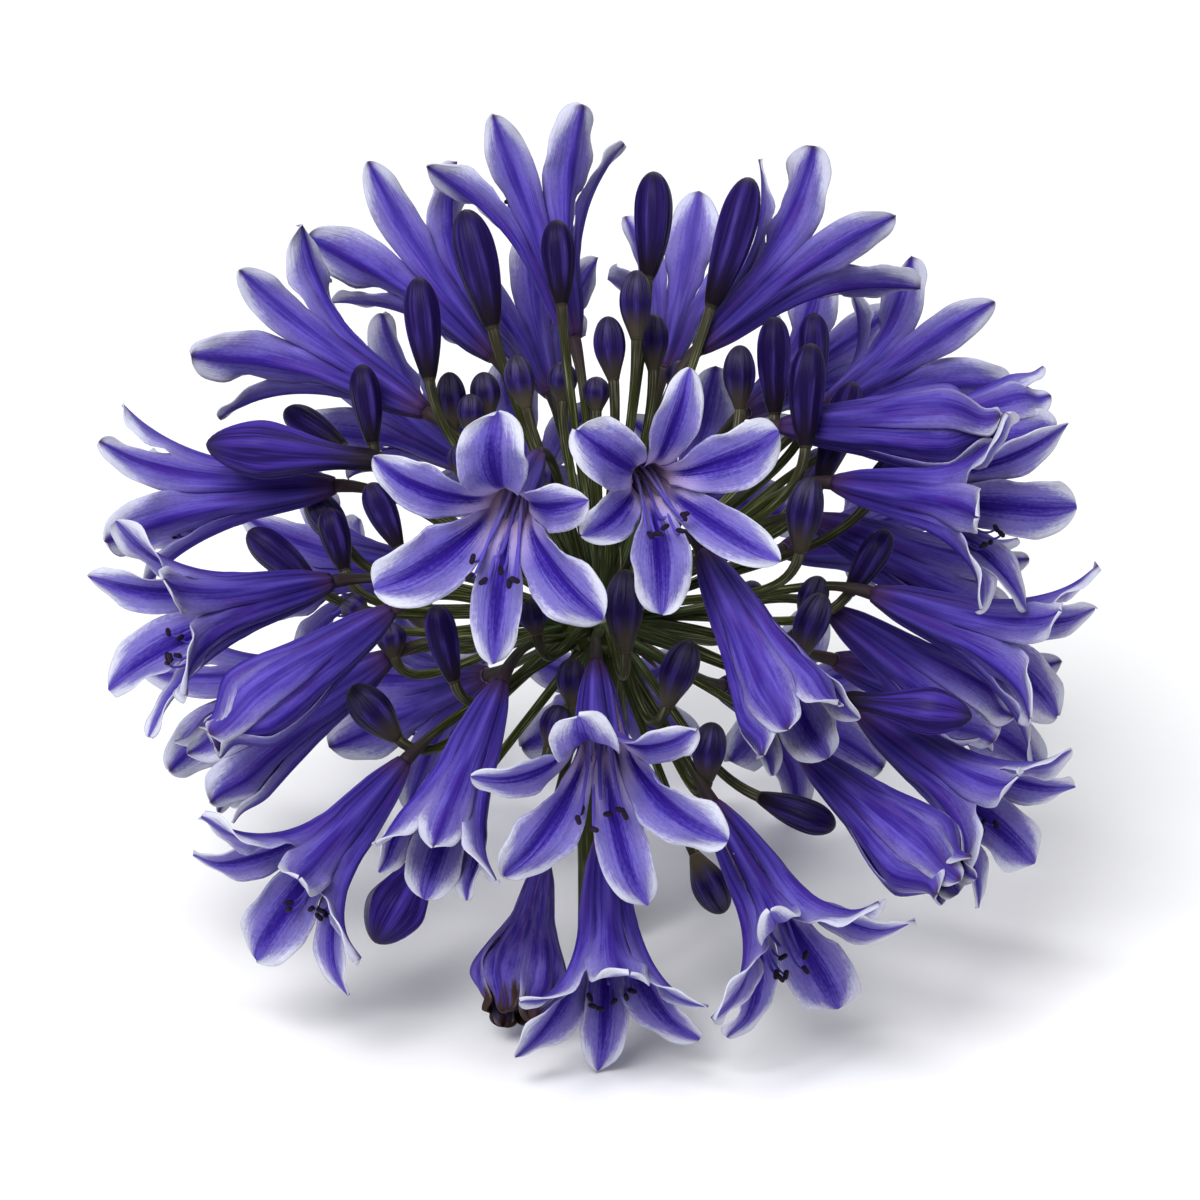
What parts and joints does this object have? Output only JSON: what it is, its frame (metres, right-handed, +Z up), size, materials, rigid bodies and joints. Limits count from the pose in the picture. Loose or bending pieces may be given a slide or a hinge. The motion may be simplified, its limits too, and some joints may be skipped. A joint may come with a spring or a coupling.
{
  "type": "agapanthus flower head",
  "caption": "Cut agapanthus umbel: violet-blue trumpet florets and dark ribbed buds on olive pedicels round one receptacle, standing on its short scape and lowest florets.",
  "frame": {"origin": "centre of the bounding box's bottom, on the surface the head stands on, within about 1 mm of the middle of the scape's cut end", "axes": "+Z up along the scape, -Y towards the side that the picture shows, +X to that side's right"},
  "size_m": [0.1755, 0.1792, 0.146],
  "materials": {
    "tepal_violet": "satin",
    "bud_indigo": "satin",
    "stalk_green": "satin"
  },
  "bodies": {
    "root": {"floret_01": "tepal_violet", "floret_02": "tepal_violet", "floret_03": "tepal_violet", "floret_04": "tepal_violet", "floret_05": "tepal_violet", "floret_06": "tepal_violet", "floret_07": "tepal_violet", "floret_08": "tepal_violet", "floret_09": "tepal_violet", "floret_10": "tepal_violet", "floret_11": "tepal_violet", "floret_12": "tepal_violet", "floret_13": "tepal_violet", "floret_14": "tepal_violet", "floret_15": "tepal_violet", "floret_16": "tepal_violet", "floret_17": "tepal_violet", "floret_18": "tepal_violet", "floret_19": "tepal_violet", "floret_20": "tepal_violet", "floret_21": "tepal_violet", "floret_22": "tepal_violet", "floret_23": "tepal_violet", "floret_24": "tepal_violet", "floret_25": "tepal_violet", "floret_26": "tepal_violet", "floret_27": "tepal_violet", "floret_28": "tepal_violet", "floret_29": "tepal_violet", "floret_30": "tepal_violet", "floret_31": "tepal_violet", "floret_32": "tepal_violet", "floret_33": "tepal_violet", "floret_34": "tepal_violet", "floret_35": "tepal_violet", "floret_36": "tepal_violet", "floret_37": "tepal_violet", "floret_38": "tepal_violet", "floret_39": "tepal_violet", "bud_01": "bud_indigo", "bud_02": "bud_indigo", "bud_03": "bud_indigo", "bud_04": "bud_indigo", "bud_05": "bud_indigo", "bud_06": "bud_indigo", "bud_07": "bud_indigo", "bud_08": "bud_indigo", "bud_09": "bud_indigo", "bud_10": "bud_indigo", "bud_11": "bud_indigo", "bud_12": "bud_indigo", "bud_13": "bud_indigo", "bud_14": "bud_indigo", "bud_15": "bud_indigo", "bud_16": "bud_indigo", "bud_17": "bud_indigo", "bud_18": "bud_indigo", "bud_19": "bud_indigo", "bud_20": "bud_indigo", "scape_and_pedicels": "stalk_green"}
  },
  "joints": []
}
